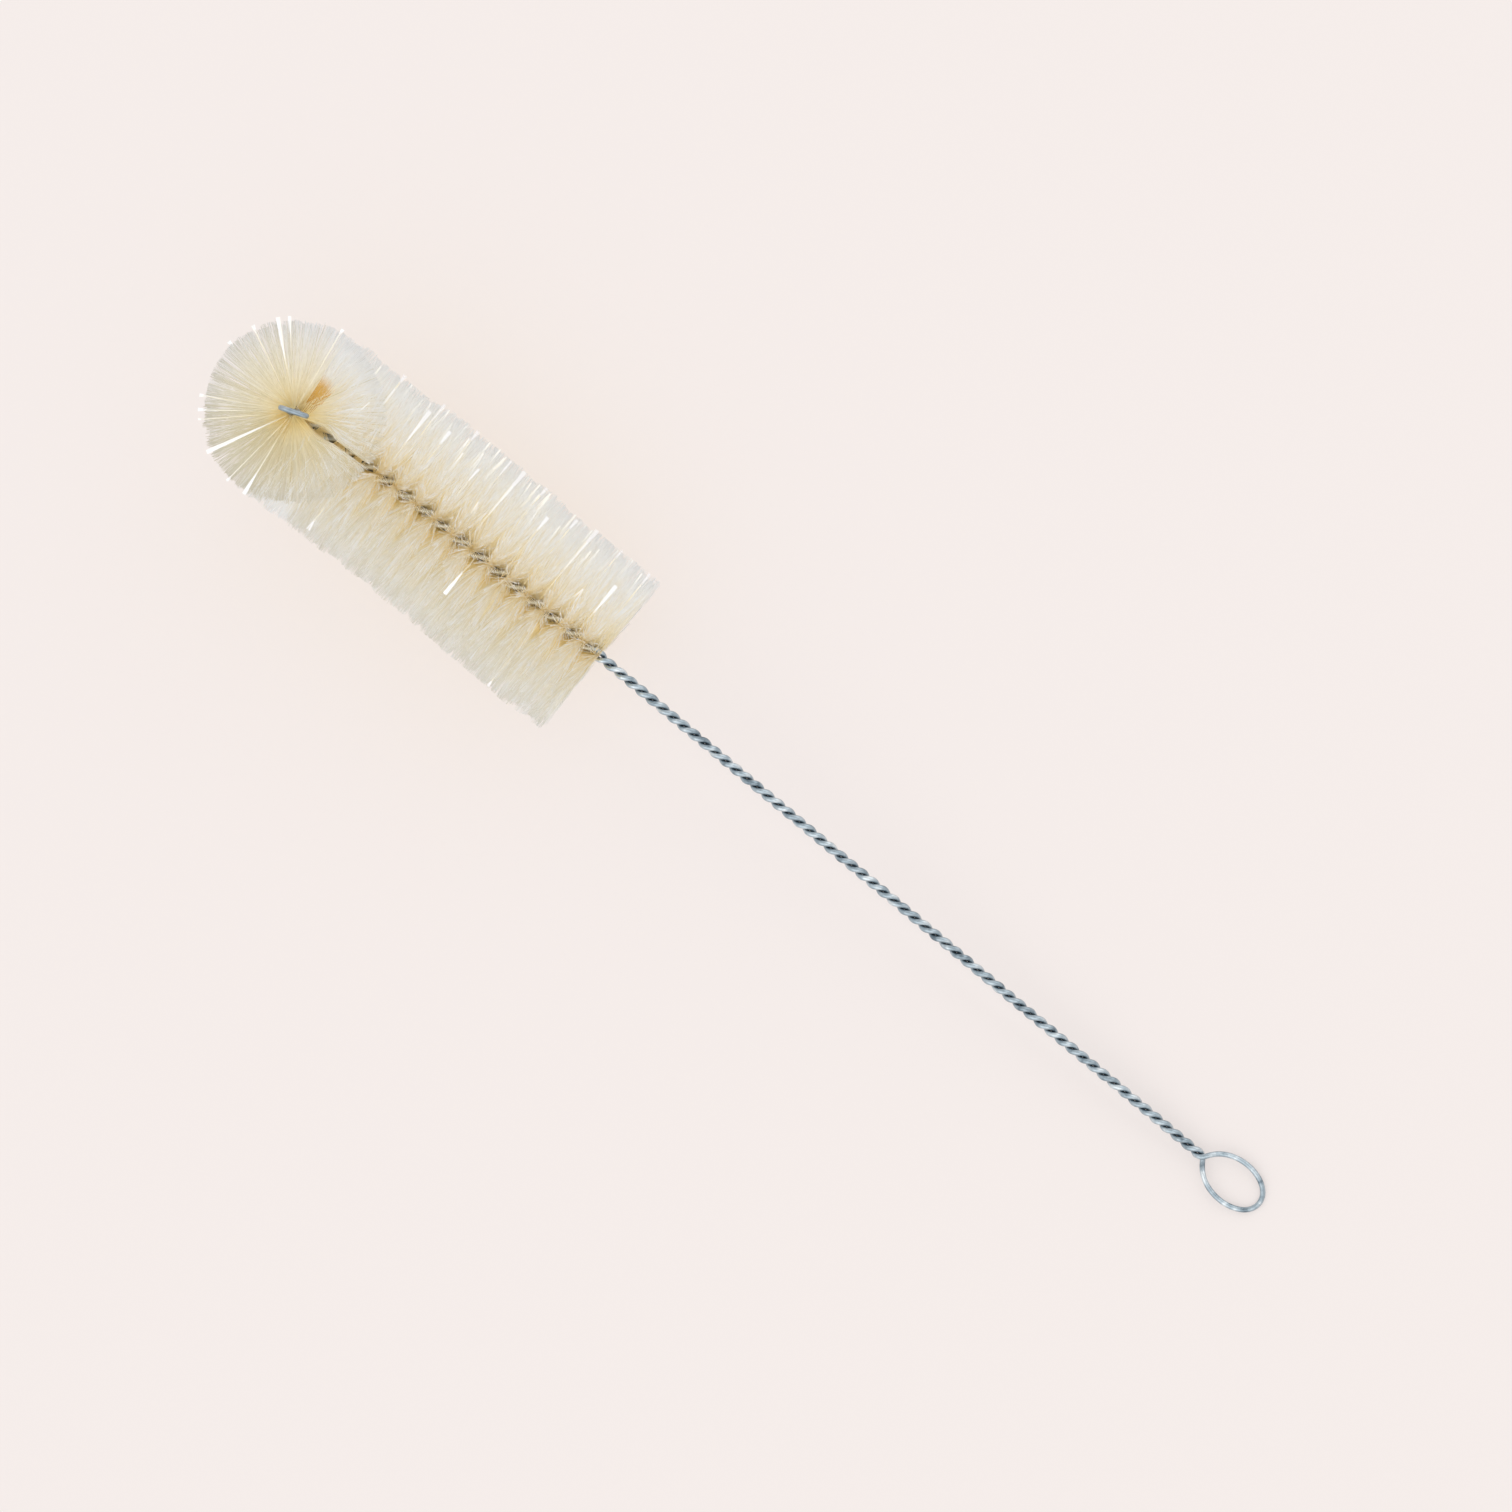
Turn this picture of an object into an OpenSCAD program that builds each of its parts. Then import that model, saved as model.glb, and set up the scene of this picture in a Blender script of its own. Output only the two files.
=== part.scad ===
// Bottle brush: one wire, folded into a handle loop and twisted on itself, with rows of bristles
// gripped between its two strands. The last of the twist is turned up, so that the bristles
// there fan out round the end of the brush. It lies as it comes to rest, on the rim of its
// bristles and the end of its loop.

/* [Wire] */
// Diameter of the wire
wire_d = 1.65; // [1.3:0.05:2.0]
// Space left between the two strands of the bare stem
strand_gap = 0.04; // [0.02:0.01:0.1]
// Space that the handle loop holds open between the two strands where they cross
cross_gap = 0.16; // [0.1:0.02:0.3]
// Space that the bristles hold open between the two strands
grip_gap = 0.42; // [0.36:0.02:0.6]

/* [Stem] */
// Length of bare twist, from where the strands cross at the handle loop to the bristles
stem_len = 233; // [150:1:320]
// Length of one full turn of the bare twist
stem_pitch = 8.1; // [7:0.1:11]

/* [Handle loop] */
// Length of the loop outside the wire, from where the strands cross
loop_len = 22.3; // [16:0.1:32]
// Width of the loop outside the wire
loop_w = 15.1; // [12:0.1:20]
// Angle at which each side of the loop leaves the crossing
loop_leg_angle = 64; // [50:1:75]
// Length over which the sides of the loop come level after they cross
loop_level = 4; // [3:0.5:8]

/* [Bristled length] */
// Diameter that the bristles are trimmed to
bristle_d = 57.6; // [46:0.2:70]
// Distance from the square-cut edge of the bristles to the middle of the turned-up tip
bristle_len = 116; // [90:1:160]
// Length of one full turn of the twist among the bristles
bristle_pitch = 14.2; // [12:0.1:17]
// Length of straight bristled twist before the core takes a slight sideways set
set_at = 66; // [40:1:80]
// Sideways set of the core, in degrees
set_angle = 3.3; // [0.5:0.1:6]
// Length over which the core takes that set
set_len = 24; // [12:1:28]
// How far the bristles of one row spread along the brush at their trimmed ends
row_spread = 5.4; // [3:0.1:6]
// Depth that the bristles give where the brush rests on them
rest_dent = 1.5; // [0.5:0.1:2.5]

/* [Turned-up tip] */
// Radius of the bend in the middle of the twist
tip_bend_r = 7; // [6:0.5:9]
// Height of the last bristles above the middle of the bristled length
tip_rise = 18; // [14:0.5:24]
// Turn of the end eye from square to the brush, in degrees
eye_angle = 72; // [20:1:88]
// Height of the end eye outside the wire
eye_len = 6.2; // [5:0.1:9]
// Width of the end eye outside the wire
eye_w = 9.4; // [7:0.1:12]
// Angle at which each side of the eye leaves the twist
eye_leg_angle = 58; // [50:1:70]

/* [Hidden] */

wire_color = [0.62, 0.67, 0.70];
bristle_color = [0.90, 0.86, 0.74];

// Sides of the wire, and rings for each full turn. Six of both keep the strands clear of each other.
wire_sides = 6;
turn_rings = 6;
// Rings for each full turn in the bend and above it
bend_rings = 12;
loop_steps = 13;
eye_steps = 8;
// Tufts on each edge of the web of roots for each full turn
tufts_per_turn = 37;

wire_r = wire_d / 2;
wire_flat = wire_r * cos(180 / wire_sides);
bristle_r = bristle_d / 2;

// The core is the line between the two strands. It is measured from their crossing at the handle
// loop, where one lies over the other. At the first bristles they lie side by side.
stem_turns = round(2 * stem_len / stem_pitch - 0.5) / 2 + 0.25;
set_start = stem_len + set_at;
bend_start = stem_len + bristle_len - tip_bend_r;
bend_len = tip_bend_r * PI / 2;
bend_end = bend_start + bend_len;
twist_end = bend_end + tip_rise - tip_bend_r;
grip_len = twist_end - stem_len;
grip_turns = round(2 * grip_len / bristle_pitch - eye_angle / 180) / 2 + eye_angle / 360;

// The web of bristle roots: its thickness, half its width, and how far it stops short of the ends
root_t = 0.08;
root_r = wire_r + 0.1;
fill_inset = 0.4;
// Trimmed edge of one tuft: its length along the brush, and its turn round the brush in degrees
edge_along = 2.6;
edge_turn = 8;
// Bristles that meet inside the bend stop this far short of each other
meet_gap = 0.3;
// Length of bare twist over which the strands part to take the bristles
grip_ramp = 5;

function unit(v) = v / norm(v);
function clamp01(x) = min(max(x, 0), 1);
function smooth01(x) = let (t = clamp01(x)) t * t * (3 - 2 * t);
function bezier(p, t) =
    p[0] * pow(1 - t, 3) + 3 * p[1] * pow(1 - t, 2) * t + 3 * p[2] * (1 - t) * t * t + p[3] * pow(t, 3);

// Sideways heading of the core, and its place in plan
function heading(s) = set_angle * clamp01((s - set_start) / set_len);
function plan_at(s) =
    let (a = heading(s), r = set_len * 180 / PI / set_angle, after = max(s - set_start - set_len, 0))
    -[min(s, set_start) + r * sin(a) + after * cos(a), r * (1 - cos(a)) + after * sin(a)];

// Place of the core, its direction, and the two directions square to it
function core(s) =
    let (
        level = min(s, bend_start),
        ahead = [-cos(heading(level)), -sin(heading(level)), 0],
        rise = 90 * clamp01((s - bend_start) / bend_len),
        place = plan_at(level),
        along = ahead * cos(rise) + [0, 0, sin(rise)],
        over = [0, 0, cos(rise)] - ahead * sin(rise)
    )
    [
        [place.x, place.y, tip_bend_r * (1 - cos(rise)) + max(s - bend_end, 0)]
            + ahead * tip_bend_r * sin(rise),
        along, over, cross(along, over)
    ];

// A direction square to the core, and a point that far out along it
function spoke(c, angle) = cos(angle) * c[2] + sin(angle) * c[3];
function around(s, r, angle) = let (c = core(s)) c[0] + r * spoke(c, angle);

// The twist is left-handed. Its phase is the direction from the core to the first strand.
function phase(s) =
    -360 * (min(s, stem_len) / stem_len * stem_turns + max(s - stem_len, 0) / grip_len * grip_turns);
function strand_off(s) =
    wire_r + (strand_gap + (cross_gap - strand_gap) * (1 - smooth01(s / stem_pitch))
        + (grip_gap - strand_gap) * smooth01((s - stem_len) / grip_ramp + 1)) / 2;

// One side of a teardrop loop: how far along and across it is at t, from its neck to its far end
function teardrop(t, len, half, neck, leg_angle) =
    let (bulge = 1.5 * half)
    bezier([[0, neck], [bulge / tan(leg_angle), bulge], [len, 1.12 * half], [len, 0]], t);
loop_reach = loop_len - wire_r;
eye_reach = eye_len - wire_r;
function loop_at(t, side) =
    let (p = teardrop(t, loop_reach, loop_w / 2 - wire_r, 0, loop_leg_angle))
    [p.x, side * p.y, side * strand_off(0) * (1 - smooth01(p.x / loop_level))];
function eye_at(t, side) =
    let (
        p = teardrop(t, eye_reach, eye_w / 2 - wire_r, strand_off(twist_end), eye_leg_angle),
        c = core(twist_end)
    )
    c[0] + p.x * c[1] + side * p.y * spoke(c, phase(twist_end));

// Rings of one strand, and the direction in which each ring keeps its corners. Those of the stem
// fall where the strands lie side by side and a whole number of corners either way.
bend_turns = floor((bend_start - stem_len) / grip_len * grip_turns * turn_rings) / turn_rings;
last_rings = ceil((grip_turns - bend_turns) * bend_rings - 0.1);
strand_s = concat(
    [0],
    [for (k = [0:stem_turns * turn_rings - 1]) (k + 0.5) / turn_rings * stem_len / stem_turns],
    [for (turn = concat(
        [for (k = [0:bend_turns * turn_rings - 1]) k / turn_rings],
        [for (k = [0:last_rings - 1]) bend_turns + k / bend_rings],
        [grip_turns]
    )) stem_len + turn / grip_turns * grip_len]
);
eye_square = (phase(twist_end) + 90) - 180 * round((phase(twist_end) + 90) / 180);
function corner_dir(s) = spoke(core(s), eye_square * smooth01((s - bend_start) / (twist_end - bend_start)));
function strand(side, steps) =
    [for (s = steps) [around(s, strand_off(s), phase(s) + 90 - side * 90), corner_dir(s)]];
function reversed(list) = [for (i = [len(list) - 1:-1:0]) list[i]];
level_dir = [0, 0, 1];
eye_dir = corner_dir(twist_end);

// The wire's whole course: far end of the handle loop, one strand up to the eye, the other back
wire_course = concat(
    [for (k = [loop_steps:-1:1]) [loop_at(k / loop_steps, 1), level_dir]],
    strand(1, strand_s),
    [for (k = [1:eye_steps]) [eye_at(k / eye_steps, 1), eye_dir]],
    [for (k = [eye_steps - 1:-1:1]) [eye_at(k / eye_steps, -1), eye_dir]],
    strand(-1, reversed(strand_s)),
    [for (k = [1:loop_steps - 1]) [loop_at(k / loop_steps, -1), level_dir]]
);

function wire_ring(i) =
    let (
        n = len(wire_course),
        run = unit(wire_course[(i + 1) % n][0] - wire_course[(i + n - 1) % n][0]),
        across = unit(cross(run, wire_course[i][1])),
        over = cross(across, run)
    )
    [for (k = [0:wire_sides - 1]) let (a = 360 * k / wire_sides)
        wire_course[i][0] + wire_r * (cos(a) * across + sin(a) * over)];
wire_points = [for (i = [0:len(wire_course) - 1]) each wire_ring(i)];

// A thin web of bristle roots is gripped between the strands, and twists with them. From each edge
// of it, tufts fan out to the trimmed cylinder, leaning along the brush by turns. Inside the bend
// they stop where those of the turned-up tip meet those of the straight length.
function meet_at(s) = tip_bend_r + max(bend_start - s, s - bend_end, 0);
function reach(s, lean, angle) =
    let (slope = cos(angle) + abs(lean) / bristle_r)
    slope > 0 ? min(bristle_r, (meet_at(s) - meet_gap) / slope) : bristle_r;
function trimmed_end(s, lean, angle) =
    let (r = reach(s, lean, angle))
    around(max(s + lean * r / bristle_r, stem_len), r, angle);

tuft_count = round(grip_turns * tufts_per_turn);
tuft_gap = (grip_len - 2 * fill_inset) / tuft_count;
function root_s(k) = stem_len + fill_inset + tuft_gap * k;
function root_ring(k) =
    let (s = root_s(k), c = core(s), out = spoke(c, phase(s) + 90), thick = spoke(c, phase(s)))
    [for (corner = [[1, -1], [1, 1], [-1, 1], [-1, -1]])
        c[0] + corner[0] * root_r * out + corner[1] * root_t / 2 * thick];

// The trimmed edge of one tuft runs across its row at a slant, the other way on every other tuft
function slant(k) = k % 2 == 0 ? 1 : -1;
function tuft_edge(k, angle) =
    let (s = root_s(k + 0.5), lean = (k % 3 - 1) * (row_spread - edge_along) / 2)
    [for (end = [-1, 1])
        trimmed_end(s, lean + end * edge_along / 2, angle - slant(k) * end * edge_turn / 2)];
fill_points = [for (k = [0:tuft_count]) each concat(
    root_ring(k),
    k == tuft_count ? [] : concat(
        tuft_edge(k, phase(root_s(k + 0.5)) + 90),
        tuft_edge(k, phase(root_s(k + 0.5)) - 90)
    )
)];

// The brush tips until the end of its loop is down, and the rim of its bristles is pressed flat
rest_span = stem_len + loop_reach;
rest_drop = bristle_r - wire_flat;
rest_tilt = atan(rest_drop / rest_span) - asin(rest_dent / norm([rest_span, rest_drop]));
rest_lift = loop_reach * sin(rest_tilt) + wire_flat * cos(rest_tilt);
function laid(p) = [
    p.x * cos(rest_tilt) + p.z * sin(rest_tilt), p.y,
    max(p.z * cos(rest_tilt) - p.x * sin(rest_tilt) + rest_lift, 0)
];
laid_wire = [for (p = wire_points) laid(p)];
laid_fill = [for (p = fill_points) laid(p)];
laid_x = [for (p = concat(laid_wire, laid_fill)) p.x];
laid_y = [for (p = concat(laid_wire, laid_fill)) p.y];
middle = [(min(laid_x) + max(laid_x)) / 2, (min(laid_y) + max(laid_y)) / 2, 0];

// Triangles between ring i and ring j of a skin whose rings have n corners
function band(i, j, n) = [for (k = [0:n - 1]) let (m = (k + 1) % n)
    each [[i * n + k, i * n + m, j * n + m], [i * n + k, j * n + m, j * n + k]]];

module twisted_wire() {
    rings = len(wire_course);
    color(wire_color)
        polyhedron(
            [for (p = laid_wire) p - middle],
            [for (i = [0:rings - 1]) each band(i, (i + 1) % rings, wire_sides)]
        );
}

// Triangles of one tuft, from corners c and d of root ring i and root ring j to its edge, p to q.
// Its two sides fold along the diagonals that make it thickest in the middle.
function tuft(i, j, c, d, p, q, slant) = concat(
    [[i + c, i + d, i + p], [j + d, j + c, i + q]],
    slant < 0
        ? [[i + d, j + d, i + p], [j + d, i + q, i + p], [j + c, i + c, i + q], [i + c, i + p, i + q]]
        : [[i + d, j + d, i + q], [i + d, i + q, i + p], [j + c, i + c, i + p], [j + c, i + p, i + q]]
);

module bristle_fill() {
    last = tuft_count * 8;
    color(bristle_color)
        polyhedron(
            [for (p = laid_fill) p - middle],
            concat(
                [for (k = [0:tuft_count - 1]) let (i = 8 * k, j = 8 * (k + 1)) each concat(
                    [[i + 1, i + 2, j + 2], [i + 1, j + 2, j + 1], [i + 3, i, j + 3], [i, j, j + 3]],
                    tuft(i, j, 0, 1, 4, 5, slant(k)),
                    tuft(i, j, 2, 3, 6, 7, slant(k))
                )],
                [[3, 2, 1, 0], [last, last + 1, last + 2, last + 3]]
            )
        );
}

twisted_wire();
bristle_fill();
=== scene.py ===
"""Bottle brush of twisted galvanised wire and pale bristles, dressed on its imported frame.

Lengths are metres. In the frame +X runs along the brush to its handle loop and +Z is up. The brush's
own axes have the stem level; laid() tips them as the brush lies, on its bristles and its loop.
"""
import math
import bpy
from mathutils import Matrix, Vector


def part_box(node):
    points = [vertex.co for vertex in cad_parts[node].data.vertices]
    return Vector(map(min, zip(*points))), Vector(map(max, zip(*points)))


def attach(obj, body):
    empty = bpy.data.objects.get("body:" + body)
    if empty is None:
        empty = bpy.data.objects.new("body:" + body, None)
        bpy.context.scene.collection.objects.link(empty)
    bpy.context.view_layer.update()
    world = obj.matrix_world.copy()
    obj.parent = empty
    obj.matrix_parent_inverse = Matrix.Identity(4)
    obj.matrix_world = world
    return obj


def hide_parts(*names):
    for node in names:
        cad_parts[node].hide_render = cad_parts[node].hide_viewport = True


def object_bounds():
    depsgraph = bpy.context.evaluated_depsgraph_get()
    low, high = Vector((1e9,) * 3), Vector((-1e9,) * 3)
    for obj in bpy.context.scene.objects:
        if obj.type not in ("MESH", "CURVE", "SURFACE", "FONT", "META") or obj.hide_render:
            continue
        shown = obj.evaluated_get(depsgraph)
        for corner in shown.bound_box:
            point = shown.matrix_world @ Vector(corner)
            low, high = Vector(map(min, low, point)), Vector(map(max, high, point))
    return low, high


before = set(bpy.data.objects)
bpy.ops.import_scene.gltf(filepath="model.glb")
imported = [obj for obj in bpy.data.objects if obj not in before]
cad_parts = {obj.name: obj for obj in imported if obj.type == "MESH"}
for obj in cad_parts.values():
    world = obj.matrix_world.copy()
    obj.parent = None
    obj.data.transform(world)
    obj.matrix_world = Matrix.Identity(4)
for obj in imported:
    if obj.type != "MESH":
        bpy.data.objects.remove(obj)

from types import SimpleNamespace

import bpy
import numpy as np
from mathutils import Matrix, Vector
from mathutils.kdtree import KDTree

cad_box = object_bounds()
MM = 0.001

# ---------------------------------------------------------------- sizes of the brush
# The wire, and how far its two strands stand apart: along the stem, where they cross at the loop, and
# where they grip the bristles, which opens over a short length
WIRE_R = 1.65 * MM / 2
STRAND_GAP = 0.04 * MM
CROSS_GAP = 0.16 * MM
GRIP_GAP = 0.42 * MM
GRIP_RAMP = 5 * MM

# The bare stem, from the crossing to the first bristles, and a whole turn of its twist
STEM_LEN = 233 * MM
STEM_PITCH = 8.1 * MM

# The handle loop: the angle at which its sides set out, and the length in which they come level
LOOP_LEN = 22.3 * MM
LOOP_W = 15.1 * MM
LOOP_LEG = math.radians(64)
LOOP_LEVEL = 4 * MM

# The bristles, and a whole turn of the twist that grips them
BRISTLE_R = 57.6 * MM / 2
BRISTLE_LEN = 116 * MM
BRISTLE_PITCH = 14.2 * MM

# A slight bend that the core has taken on within the bristles: where it starts, its angle and length
SET_AT = 66 * MM
SET_ANGLE = math.radians(3.3)
SET_LEN = 24 * MM

# The turned-up tip, and the eye that closes it
TIP_BEND_R = 7 * MM
TIP_RISE = 18 * MM
EYE_ANGLE = math.radians(72)
EYE_LEN = 6.2 * MM
EYE_W = 9.4 * MM
EYE_LEG = math.radians(58)

# A loop is a curve between corners: how much wider they are than it, near its neck and at its far end
LOOP_BULGE = 1.5
LOOP_ROUND = 1.12

# How deep the bristles are pressed where the brush lies on them, and the sides of the solid wire
REST_DENT = 1.5 * MM
CAD_WIRE_SIDES = 6

# Turns of the twist along the stem and the gripped length, and where the parts of the core start
STEM_TURNS = round(2 * STEM_LEN / STEM_PITCH - 0.5) / 2 + 0.25
SET_START = STEM_LEN + SET_AT
BEND_START = STEM_LEN + BRISTLE_LEN - TIP_BEND_R
BEND_LEN = TIP_BEND_R * math.pi / 2
BEND_END = BEND_START + BEND_LEN
TWIST_END = BEND_END + TIP_RISE - TIP_BEND_R
GRIP_LEN = TWIST_END - STEM_LEN
EYE_TURNS = EYE_ANGLE / (2 * math.pi)
GRIP_TURNS = round(2 * (GRIP_LEN / BRISTLE_PITCH - EYE_TURNS)) / 2 + EYE_TURNS

# How the brush lies: tipped until the end of its loop is down, with the rim of its bristles pressed.
# The solid wire has six sides and tips with a flat one down. The round one lies on its full radius.
WIRE_FLAT = WIRE_R * math.cos(math.pi / CAD_WIRE_SIDES)
REST_SPAN = STEM_LEN + LOOP_LEN - WIRE_R
REST_DROP = BRISTLE_R - WIRE_FLAT
REST_TILT = math.atan(REST_DROP / REST_SPAN) - math.asin(REST_DENT / math.hypot(REST_SPAN, REST_DROP))
REST_LIFT = (LOOP_LEN - WIRE_R) * math.sin(REST_TILT) + WIRE_R * math.cos(REST_TILT)
wire_low, wire_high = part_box("twisted_wire")
CROSSING = np.array([
    wire_high.x - LOOP_LEN * math.cos(REST_TILT),
    (wire_low.y + wire_high.y) / 2,
    REST_LIFT,
])

# The bead of wire that the bristles leave bare, a little before the bend: where it is from there, how
# long, and how far to each side it is clear
BARE_AT = -3.6 * MM
BARE_LEN = 2.2 * MM
BARE_W = 1.7 * MM

# Axes of the brush as it lies: toward the loop, across, and square to the loop's plane
ALONG = np.array([math.cos(REST_TILT), 0, -math.sin(REST_TILT)])
ACROSS = np.array([0, 1.0, 0])
UPRIGHT = np.array([math.sin(REST_TILT), 0, math.cos(REST_TILT)])


def laid(points):
    """Points in the brush's own axes, from where its strands cross, as they lie in the frame."""
    return CROSSING + points @ np.array([ALONG, ACROSS, UPRIGHT])


def smooth01(x):
    """Rises from 0 to 1 as x does, and starts and ends gently."""
    t = np.clip(x, 0, 1)
    return t * t * (3 - 2 * t)


def unit(v):
    """Vectors v, each made one long."""
    return v / np.linalg.norm(v, axis=-1, keepdims=True)


def within_half_turn(angle):
    """The same direction, by an angle between half a turn back and half a turn on."""
    return (angle + math.pi) % (2 * math.pi) - math.pi


# ---------------------------------------------------------------- course of the core and the strands
def core(s):
    """Place of the core at each length s from the crossing, its direction, and two square to it."""
    s = np.asarray(s, float)
    level = np.minimum(s, BEND_START)
    turn = SET_ANGLE * np.clip((level - SET_START) / SET_LEN, 0, 1)
    radius = SET_LEN / SET_ANGLE
    after = np.maximum(level - SET_START - SET_LEN, 0)
    ahead = -np.stack([np.cos(turn), np.sin(turn), np.zeros_like(s)], -1)
    rise = (np.clip((s - BEND_START) / BEND_LEN, 0, 1) * math.pi / 2)[..., None]
    up = np.array([0, 0, 1.0])
    place = -np.stack([
        np.minimum(level, SET_START) + radius * np.sin(turn) + after * np.cos(turn),
        radius * (1 - np.cos(turn)) + after * np.sin(turn),
        np.zeros_like(s),
    ], -1)
    place = place + ahead * TIP_BEND_R * np.sin(rise)
    place = place + up * (TIP_BEND_R * (1 - np.cos(rise)) + np.maximum(s - BEND_END, 0)[..., None])
    along = ahead * np.cos(rise) + up * np.sin(rise)
    over = up * np.cos(rise) - ahead * np.sin(rise)
    return place, along, over, np.cross(along, over)


def phase(s):
    """Direction from the core to the first strand at s. The twist is left-handed."""
    stem = np.minimum(s, STEM_LEN) / STEM_LEN * STEM_TURNS
    grip = np.maximum(s - STEM_LEN, 0) / GRIP_LEN * GRIP_TURNS
    return -2 * math.pi * (stem + grip)


def strand_off(s):
    """How far a strand's middle is from the core at s: widest where it grips the bristles."""
    crossing = (CROSS_GAP - STRAND_GAP) * (1 - smooth01(s / STEM_PITCH))
    gripping = (GRIP_GAP - STRAND_GAP) * smooth01((s - STEM_LEN) / GRIP_RAMP + 1)
    return WIRE_R + (STRAND_GAP + crossing + gripping) / 2


def around(s, r, angle):
    """Points at distance r from the core at s, in the direction angle."""
    place, _, over, side = core(s)
    spoke = np.cos(angle)[..., None] * over + np.sin(angle)[..., None] * side
    return place + np.asarray(r)[..., None] * spoke


def teardrop(t, length, half, neck, leg):
    """One side of a loop: how far along and across it is at t, from its neck to its far end."""
    bulge = LOOP_BULGE * half
    corners = np.array([[0, neck], [bulge / math.tan(leg), bulge], [length, LOOP_ROUND * half], [length, 0]])
    weights = np.stack([(1 - t) ** 3, 3 * t * (1 - t) ** 2, 3 * t * t * (1 - t), t ** 3], -1)
    return weights @ corners


# ---------------------------------------------------------------- camera, floor and light
# The view is aimed from the first bristles, so far along the stem and across it
VIEW_W = 449.2152 * MM
VIEW_ALONG = 54.6 * MM
VIEW_ACROSS = 6.85 * MM
CAMERA_FAR = 8.0
FLOOR_HALF = 6.0

# The stem runs down to the right in the view at this slope, which gives the view's own right and up
STEM_SLOPE = math.radians(39.7)
VIEW_RIGHT = math.cos(STEM_SLOPE) * ALONG + math.sin(STEM_SLOPE) * ACROSS
VIEW_UP = math.cos(STEM_SLOPE) * ACROSS - math.sin(STEM_SLOPE) * ALONG


def add_camera():
    """Looks down square to the loop's plane from far off, so that near and far keep their size."""
    cut_end = laid(core(STEM_LEN)[0])
    target = cut_end + VIEW_ALONG * ALONG + VIEW_ACROSS * ACROSS
    data = bpy.data.cameras.new("camera")
    data.angle = 2 * math.atan(VIEW_W / 2 / CAMERA_FAR)
    camera = bpy.data.objects.new("camera", data)
    place = Matrix((VIEW_RIGHT, VIEW_UP, UPRIGHT)).transposed().to_4x4()
    place.translation = Vector(target + CAMERA_FAR * UPRIGHT)
    camera.matrix_world = place
    bpy.context.collection.objects.link(camera)
    bpy.context.scene.camera = camera


def linear(code):
    """The linear colour of an sRGB hex code such as #8FA0A8."""
    parts = [int(code[i:i + 2], 16) / 255 for i in (1, 3, 5)]
    return [p / 12.92 if p <= 0.04045 else ((p + 0.055) / 1.055) ** 2.4 for p in parts] + [1.0]


def add_node(tree, kind, inputs=None, stops=(), **settings):
    """Adds a node. inputs gives each socket, by name or number, a value or the socket to link. stops
    are those of a colour ramp, each a place and an sRGB hex code."""
    node = tree.nodes.new(kind)
    for key, value in settings.items():
        setattr(node, key, value)
    for key, value in (inputs or {}).items():
        if isinstance(value, bpy.types.NodeSocket):
            tree.links.new(value, node.inputs[key])
        else:
            node.inputs[key].default_value = value
    for _ in stops[2:]:
        node.color_ramp.elements.new(0.5)
    for k, (place, code) in enumerate(stops):
        node.color_ramp.elements[k].position = place
        node.color_ramp.elements[k].color = linear(code)
    return node


def new_material(name):
    """A material with one principled shader, its nodes, and that shader."""
    material = bpy.data.materials.new(name)
    material.use_nodes = True
    tree = material.node_tree
    tree.nodes.clear()
    shader = add_node(tree, "ShaderNodeBsdfPrincipled")
    add_node(tree, "ShaderNodeOutputMaterial", {"Surface": shader.outputs["BSDF"]})
    return material, tree, shader


# The floor's colour, and the share of it that is seen without being lit
FLOOR_COLOR = "#F2EAE7"
FLOOR_GLOW = 0.5


def floor_card():
    """Matt card, rolled smooth: one pale colour with hardly any shine. The camera, a reflection and clear
    matter find half of that colour already there, so that a shadow on it stays faint."""
    material, tree, shader = new_material("matt_card")
    shader.inputs["Base Color"].default_value = linear(FLOOR_COLOR)
    shader.inputs["Roughness"].default_value = 0.9
    shader.inputs["Specular IOR Level"].default_value = 0.0
    ray = add_node(tree, "ShaderNodeLightPath").outputs
    seen = ray["Is Camera Ray"]
    for kind in ("Is Glossy Ray", "Is Transmission Ray"):
        either = add_node(tree, "ShaderNodeMath", {0: seen, 1: ray[kind]}, operation="MAXIMUM")
        seen = either.outputs["Value"]
    share = add_node(tree, "ShaderNodeMath", {0: seen, 1: FLOOR_GLOW}, operation="MULTIPLY")
    glow = add_node(tree, "ShaderNodeEmission", {"Color": linear(FLOOR_COLOR), "Strength": 1.0})
    mix = add_node(tree, "ShaderNodeMixShader", {
        0: share.outputs["Value"], 1: shader.outputs["BSDF"], 2: glow.outputs["Emission"],
    })
    tree.links.new(mix.outputs["Shader"], tree.nodes["Material Output"].inputs["Surface"])
    return material


def add_floor():
    """A wide square of card at the height on which the brush lies."""
    mesh = bpy.data.meshes.new("floor")
    h = FLOOR_HALF
    mesh.from_pydata([(-h, -h, 0), (h, -h, 0), (h, h, 0), (-h, h, 0)], [], [(0, 1, 2, 3)])
    mesh.materials.append(floor_card())
    floor = bpy.data.objects.new("floor", mesh)
    bpy.context.collection.objects.link(floor)


# The sky's level from the horizon to the first height, and from the second to straight overhead
SKY_LEVEL = 0.84
ZENITH_LEVEL = 0.50
ZENITH_FROM, ZENITH_TO = 0.80, 0.93
# Each lamp: level, width, and where it stands by the view: to the right, up, and toward the camera
LAMPS = [(0.90, math.radians(80), (-0.35, -0.50, 1.2)), (0.32, math.radians(50), (0.55, 0.75, 0.7))]


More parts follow.
